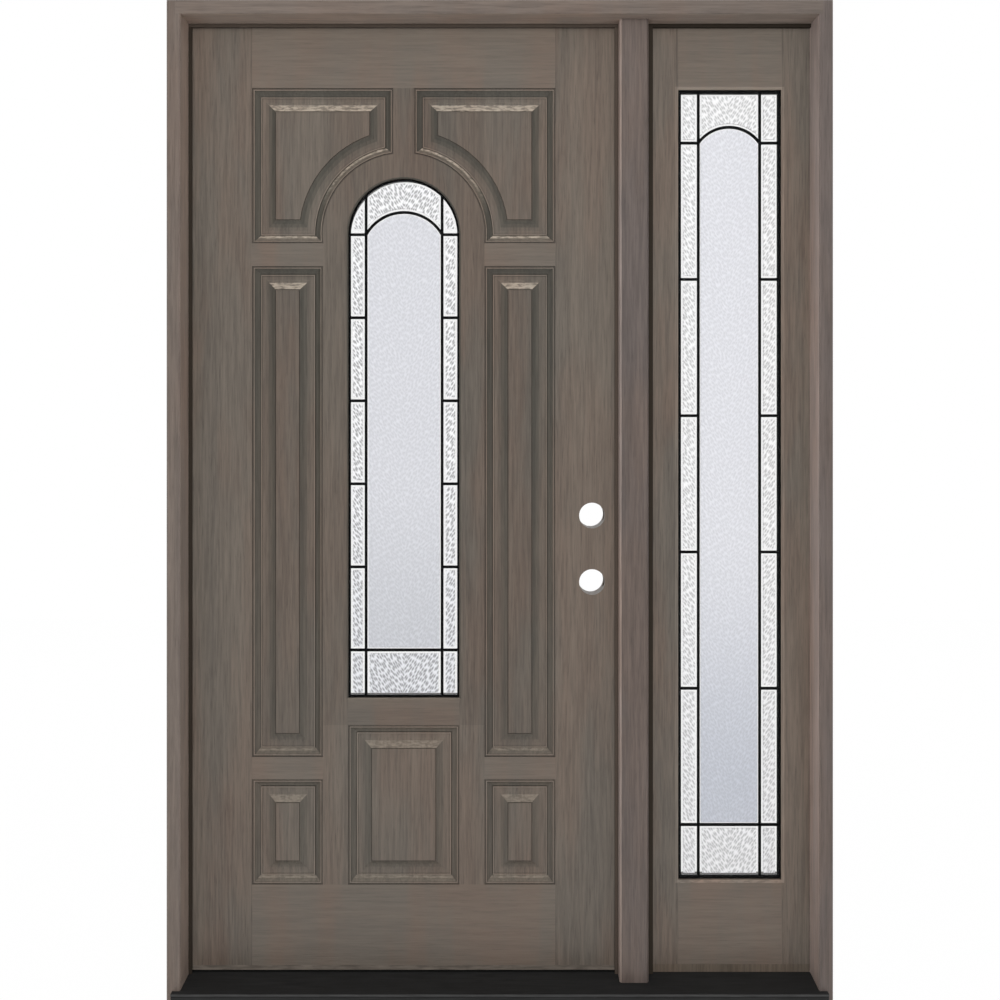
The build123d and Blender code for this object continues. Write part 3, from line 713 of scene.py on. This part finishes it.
class Light:
    """Set-out of a leaded light: outline, bars and cells in its own plane.

    Half is half its width and spread the place of its upright bars. Cross and spring are the heights of
    its lowest and highest cross bars, and rise is that of the inner arc above spring.
    """

    def __init__(self, half, bottom, top, spread, cross, spring, rise, arched, edge_width):
        self.half = half
        self.bottom = bottom
        self.top = top
        self.spread = spread
        self.cross = cross
        self.spring = spring
        self.arched = arched
        self.edge_width = edge_width
        self.radius = (spread**2 + rise**2) / (2 * rise)
        self.arc_z = spring + rise - self.radius
        self.pitch = (spring - cross) / side_bars

    def outline(self, amount):
        """The light's edge, moved in, anticlockwise from the bottom left."""
        half = self.half - amount
        bottom = self.bottom + amount
        if self.arched:
            crown = arc(self.spring, half, 0.0, pi, outline_steps)
            return [Vector((-half, bottom)), Vector((half, bottom))] + crown
        return box_outline(-half, half, bottom, self.top - amount)

    def edge_height(self, across, amount):
        """Height of the light's top edge, moved in, at a place across it."""
        if self.arched:
            return self.spring + sqrt((self.half - amount) ** 2 - across**2)
        return self.top - amount

    def inner_arc(self, radius, reach):
        """The inner arc from right to left, cut off at the reach."""
        turn = atan2(sqrt(radius**2 - reach**2), reach)
        return arc(self.arc_z, radius, turn, pi - turn, inner_arc_steps)

    def bars(self):
        """Centre lines of the came inside the edge."""
        edge = self.edge_width / 2
        lines = []
        for side in (-1, 1):
            x = side * self.spread
            lines.append([Vector((x, self.bottom + edge)), Vector((x, self.edge_height(self.spread, edge)))])
            for number in range(1, side_bars + 1):
                z = self.cross + number * self.pitch
                lines.append([Vector((side * (self.half - edge), z)), Vector((x, z))])
        lines.append([Vector((-self.half + edge, self.cross)), Vector((self.half - edge, self.cross))])
        lines.append(self.inner_arc(self.radius, self.spread))
        return lines

    def corner_cell(self, side):
        """The upper cell at one side, under the arch or in the square corner."""
        gap = came_width / 2
        out = self.half - self.edge_width
        bar = self.spread + gap
        bottom = self.spring + gap
        if self.arched:
            start = atan2(gap, sqrt(out**2 - gap**2))
            end = atan2(sqrt(out**2 - bar**2), bar)
            shape = [Vector((bar, bottom))] + arc(self.spring, out, start, end, corner_steps)
        else:
            shape = box_outline(bar, out, bottom, self.top - self.edge_width)
        if side > 0:
            return shape
        return [Vector((-point.x, point.y)) for point in reversed(shape)]

    def cells(self):
        """Outlines of the glass cells, with the border cells first and the centre last."""
        gap = came_width / 2
        out = self.half - self.edge_width
        bar = self.spread + gap
        inner = self.spread - gap
        low = self.bottom + self.edge_width
        cross_low = self.cross - gap
        cross_high = self.cross + gap
        levels = [self.cross + number * self.pitch for number in range(side_bars + 1)]
        spans = [(low, cross_low)] + [(under + gap, over - gap) for under, over in zip(levels, levels[1:])]
        cells = []
        for side in (-1, 1):
            left, right = (-out, -bar) if side < 0 else (bar, out)
            cells.extend(box_outline(left, right, bottom, top) for bottom, top in spans)
            cells.append(self.corner_cell(side))
        cells.append(box_outline(-inner, inner, low, cross_low))
        under = list(reversed(self.inner_arc(self.radius + gap, inner)))
        if self.arched:
            turn = atan2(sqrt(out**2 - inner**2), inner)
            over = arc(self.spring, out, turn, pi - turn, crown_steps)
        else:
            top = self.top - self.edge_width
            over = [Vector((inner, top)), Vector((-inner, top))]
        cells.append(under + over)
        crown = self.inner_arc(self.radius - gap, inner)
        cells.append([Vector((-inner, cross_high)), Vector((inner, cross_high))] + crown)
        return cells


def mesh_piece(name, build, materials, body):
    """Object made by a mesh-building function, riding on a body."""
    mesh = bmesh.new()
    build(mesh)
    bmesh.ops.recalc_face_normals(mesh, faces=mesh.faces)
    data = bpy.data.meshes.new(name)
    mesh.to_mesh(data)
    mesh.free()
    for material in materials:
        data.materials.append(material)
    piece = bpy.data.objects.new(name, data)
    bpy.context.scene.collection.objects.link(piece)
    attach(piece, body)
    return piece


def bridge(mesh, first, second, smooth):
    """Faces between two rings with the same number of points."""
    count = len(first)
    for index in range(count):
        after = (index + 1) % count
        face = mesh.faces.new((first[index], first[after], second[after], second[index]))
        face.smooth = smooth


def squared(share):
    """A cosine or sine drawn out, which makes a circle squarer."""
    return abs(share) ** came_power * (1 if share >= 0 else -1)


def came_section(width):
    """Rounded section of came: offsets across and through."""
    angles = [2 * pi * step / came_sides for step in range(came_sides)]
    return [(width / 2 * squared(cos(angle)), came_thickness / 2 * squared(sin(angle))) for angle in angles]


def sweep_bar(mesh, points, width, x, z, front, closed):
    """Rounded came along a centre line."""
    section = came_section(width)
    rings = []
    count = len(points)
    for index, here in enumerate(points):
        runs = []
        if closed or index > 0:
            runs.append((here - points[index - 1]).normalized())
        if closed or index < count - 1:
            runs.append((points[(index + 1) % count] - here).normalized())
        normals = [Vector((-run.y, run.x)) for run in runs]
        normal = sum(normals, Vector((0.0, 0.0))).normalized()
        reach = 1 / max(mitre_limit, normal.dot(normals[0]))
        ring = []
        for across, through in section:
            place = here + normal * across * reach
            ring.append(mesh.verts.new((x + place.x, front + came_thickness / 2 + through, z + place.y)))
        rings.append(ring)
    for first, second in zip(rings, rings[1:]):
        bridge(mesh, first, second, True)
    if closed:
        bridge(mesh, rings[-1], rings[0], True)
    else:
        mesh.faces.new(rings[0])
        mesh.faces.new(list(reversed(rings[-1])))


def glass_cell(mesh, outline, inner, x, z, front, field):
    """One glass cell with a bevelled edge on both faces.

    Material 0 is the bevel's, and field is the number of the middle's.
    """
    back = front + glass_thickness
    levels = (
        (inner, front),
        (outline, front + glass_rim_drop),
        (outline, back - glass_rim_drop),
        (inner, back),
    )
    rings = []
    for points, y in levels:
        rings.append([mesh.verts.new((x + point.x, y, z + point.y)) for point in points])
    for first, second in zip(rings, rings[1:]):
        bridge(mesh, second, first, False)
    for ring in (rings[0], list(reversed(rings[-1]))):
        mesh.faces.new(ring).material_index = field


came_material = came_metal()
margin_material = bevelled_glass()


def leaded_light(unit, light, x, z, body, glasses):
    """Came and glass cells of one light, in the place of the CAD ones."""
    came_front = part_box(f"{unit}_came")[0].y
    glass_front = came_front + (came_thickness - glass_thickness) / 2

    def build_came(mesh):
        edge = light.outline(light.edge_width / 2)
        sweep_bar(mesh, edge, light.edge_width, x, z, came_front, True)
        for line in light.bars():
            sweep_bar(mesh, line, came_width, x, z, came_front, False)

    def build_cells(mesh):
        cells = light.cells()
        corners = [light.corner_cell(side) for side in (-1, 1)] if light.arched else []
        for outline in cells[:-1]:
            drawn_in = shrunk if outline in corners else inset
            glass_cell(mesh, outline, drawn_in(outline, border_margin), x, z, glass_front, 1)
        glass_cell(mesh, cells[-1], inset(cells[-1], centre_margin), x, z, glass_front, 2)

    came = mesh_piece(f"{unit}_leading", build_came, [came_material], body)
    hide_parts(f"{unit}_came")
    materials = [margin_material, *glasses]
    cells = mesh_piece(f"{unit}_glass_cells", build_cells, materials, body)
    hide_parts(f"{unit}_art_glass")


door_light = Light(
    half=light_line,
    bottom=door_light_bottom,
    top=arch_spring + light_line,
    spread=0.0803,
    cross=0.661,
    spring=arch_spring,
    rise=0.047,
    arched=True,
    edge_width=0.0048,
)
side_light = Light(
    half=sidelite_half,
    bottom=sidelite_bottom,
    top=sidelite_top,
    spread=0.0648,
    cross=0.290,
    spring=1.730,
    rise=0.0335,
    arched=False,
    # The border came is wider than the door's. Its black is the came, and past the came's width it is
    # painted shade on the edge of the recessed glass
    edge_width=0.0072,
)
door_glasses = [
    hammered_glass(
        "door_border_glass",
        bright=linear(253, 253, 255),
        dull=linear(238, 239, 244),
        dull_z=0.6,
        bright_z=1.2,
        middle_x=door_x,
        dark=0.62,
        flecks_a_metre=border_flecks,
    ),
    hammered_glass(
        "door_centre_glass",
        bright=linear(225, 226, 232),
        dull=linear(210, 212, 218),
        dull_z=0.7,
        bright_z=1.1,
        middle_x=door_x,
        dark=0.16,
        flecks_a_metre=centre_flecks,
    ),
]
side_glasses = [
    hammered_glass(
        "side_border_glass",
        bright=linear(254, 254, 255),
        dull=linear(250, 250, 252),
        dull_z=0.4,
        bright_z=1.0,
        middle_x=panel_x,
        dark=0.42,
        flecks_a_metre=border_flecks,
    ),
    hammered_glass(
        "side_centre_glass",
        bright=linear(235, 236, 242),
        dull=linear(206, 210, 220),
        dull_z=0.4,
        bright_z=1.0,
        middle_x=panel_x,
        dark=0.16,
        flecks_a_metre=centre_flecks,
    ),
]
leaded_light("door", door_light, door_x, door_z, "door", door_glasses)
leaded_light("sidelite", side_light, panel_x, panel_z, "frame", side_glasses)


def screw_head(mesh, x, y, z, side):
    """Low screw head with a cross recess, facing along X."""

    def ring(rise, offsets):
        return [mesh.verts.new((x + side * rise, y + across, z + up)) for across, up in offsets]

    angles = [2 * pi * step / screw_sides for step in range(screw_sides)]
    rings = []
    for radius, rise in screw_profile:
        rings.append(ring(rise, [(radius * cos(angle), radius * sin(angle)) for angle in angles]))
    for first, second in zip(rings, rings[1:]):
        bridge(mesh, first, second, True)
    arm, half = recess_arm, recess_half
    corners = [(arm, -half), (arm, half), (half, half), (half, arm), (-half, arm), (-half, half)]
    corners += [(-across, -up) for across, up in corners]
    rim = ring(screw_profile[-1][1], corners)
    bottom = ring(recess_floor, corners)
    bridge(mesh, rim, bottom, False)
    mesh.faces.new(bottom)
    edges = []
    for loop in (rings[-1], rim):
        edges.extend(mesh.edges.get(ends) for ends in zip(loop, loop[1:] + loop[:1]))
    bmesh.ops.triangle_fill(mesh, use_beauty=True, edges=edges)
    mesh.faces.new(list(reversed(rings[0])))


def hinge_screws(place, leaf, body, side):
    """Screws in one leaf of a hinge."""
    pin_low, pin_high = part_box(f"{place}_hinge_pin")
    leaf_x = (pin_low.x + pin_high.x) / 2 - side * hinge_gap / 2
    leaf_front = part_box("hinge_jamb")[1].y - leaf_width
    leaf_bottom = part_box(f"{place}_hinge_{leaf}_leaf")[0].z

    def build(mesh):
        for across, up in screw_places:
            screw_head(mesh, leaf_x, leaf_front + across, leaf_bottom + up, side)

    mesh_piece(f"{place}_hinge_{leaf}_screws", build, [satin_steel], body)


for place in hinge_places:
    hinge_screws(place, "jamb", "frame", 1)
    hinge_screws(place, "door", "door", -1)

# Floor, light and camera
floor_reach = 4.0
floor_glow = 0.985
room_light = 0.3
seen_light = 1.0
fill_target = (0.0, 0.0, 1.5)
fill_width = 1.9
fill_height = 1.4
fills = (
    ("front_fill", (0.0, -4.8, 2.3), 149.0),
    ("back_fill", (0.0, 4.8, 2.3), 140.0),
    ("left_fill", (-4.6, 1.1, 1.9), 60.0),
    ("right_fill", (4.6, 1.1, 1.9), 60.0),
)
scene = bpy.context.scene
scene.view_settings.view_transform = "Standard"


def seen_rays(tree):
    """1 for rays from the camera, straight, off a gloss or through glass, else 0."""
    path = tree.nodes.new("ShaderNodeLightPath")
    seen = path.outputs["Is Camera Ray"]
    for other in ("Is Glossy Ray", "Is Transmission Ray"):
        either = tree.nodes.new("ShaderNodeMath")
        either.operation = "MAXIMUM"
        tree.links.new(seen, either.inputs[0])
        tree.links.new(path.outputs[other], either.inputs[1])
        seen = either.outputs[0]
    return seen


def pale_floor():
    """Pale floor that shows near white and keeps a soft shadow."""
    shader = Shader("pale_floor")
    tone = shader.range(shader.noise(shader.place, 6.0), *wide_noise, 0.98, 1.0)
    shader.finish(colour=shader.times((0.93, 0.93, 0.93), tone), roughness=0.8)
    glow = shader.node("ShaderNodeEmission")
    glow.inputs["Color"].default_value = (1.0, 1.0, 1.0, 1.0)
    glow.inputs["Strength"].default_value = 1.0
    blend = shader.node("ShaderNodeMixShader")
    shader.set(blend.inputs[0], shader.product(seen_rays(shader.tree), floor_glow))
    shader.set(blend.inputs[1], shader.surface.outputs[0])
    shader.set(blend.inputs[2], glow.outputs[0])
    shader.set(shader.tree.nodes["Material Output"].inputs["Surface"], blend.outputs[0])
    return shader.material


floor_mesh = bpy.data.meshes.new("floor")
floor_signs = ((-1, -1), (1, -1), (1, 1), (-1, 1))
floor_corners = [(floor_reach * x, floor_reach * y, 0) for x, y in floor_signs]
floor_mesh.from_pydata(floor_corners, [], [(0, 1, 2, 3)])
floor_mesh.materials.append(pale_floor())
floor = bpy.data.objects.new("floor", floor_mesh)
scene.collection.objects.link(floor)

world = bpy.data.worlds.new("studio")
scene.world = world
world.use_nodes = True
sky = world.node_tree.nodes["Background"]
sky.inputs["Color"].default_value = (1.0, 1.0, 1.0, 1.0)
strength = world.node_tree.nodes.new("ShaderNodeMapRange")
strength.inputs["To Min"].default_value = room_light
strength.inputs["To Max"].default_value = seen_light
world.node_tree.links.new(seen_rays(world.node_tree), strength.inputs["Value"])
world.node_tree.links.new(strength.outputs[0], sky.inputs["Strength"])


def area_lamp(name, place, target, width, height, power):
    """Soft lamp aimed at a point."""
    lamp = bpy.data.lights.new(name, "AREA")
    lamp.shape = "RECTANGLE"
    lamp.size = width
    lamp.size_y = height
    lamp.energy = power
    thing = bpy.data.objects.new(name, lamp)
    thing.location = place
    thing.rotation_euler = (Vector(target) - Vector(place)).to_track_quat("-Z", "Y").to_euler()
    scene.collection.objects.link(thing)
    return thing


for name, place, power in fills:
    fill = area_lamp(name, place, fill_target, fill_width, fill_height, power)
    fill.visible_glossy = False
area_lamp("top_key", (-0.15, -1.5, 3.9), (-0.1, 0.0, 1.0), 0.9, 0.9, 4.0)

# Camera square to the front, a little above the middle, with the frame shifted down
image_span = 2.041
image_top = 2.0596
front_y = -0.058
camera_x = 0.0004
camera_height = 1.244
camera_distance = 2.29
sensor = 36.0
lens = bpy.data.cameras.new("camera")
lens.sensor_width = sensor
lens.lens = sensor * camera_distance / image_span
lens.shift_y = (image_top - image_span / 2 - camera_height) / image_span
camera = bpy.data.objects.new("camera", lens)
camera.location = (camera_x, front_y - camera_distance, camera_height)
camera.rotation_euler = (radians(90), 0.0, 0.0)
scene.collection.objects.link(camera)
scene.camera = camera
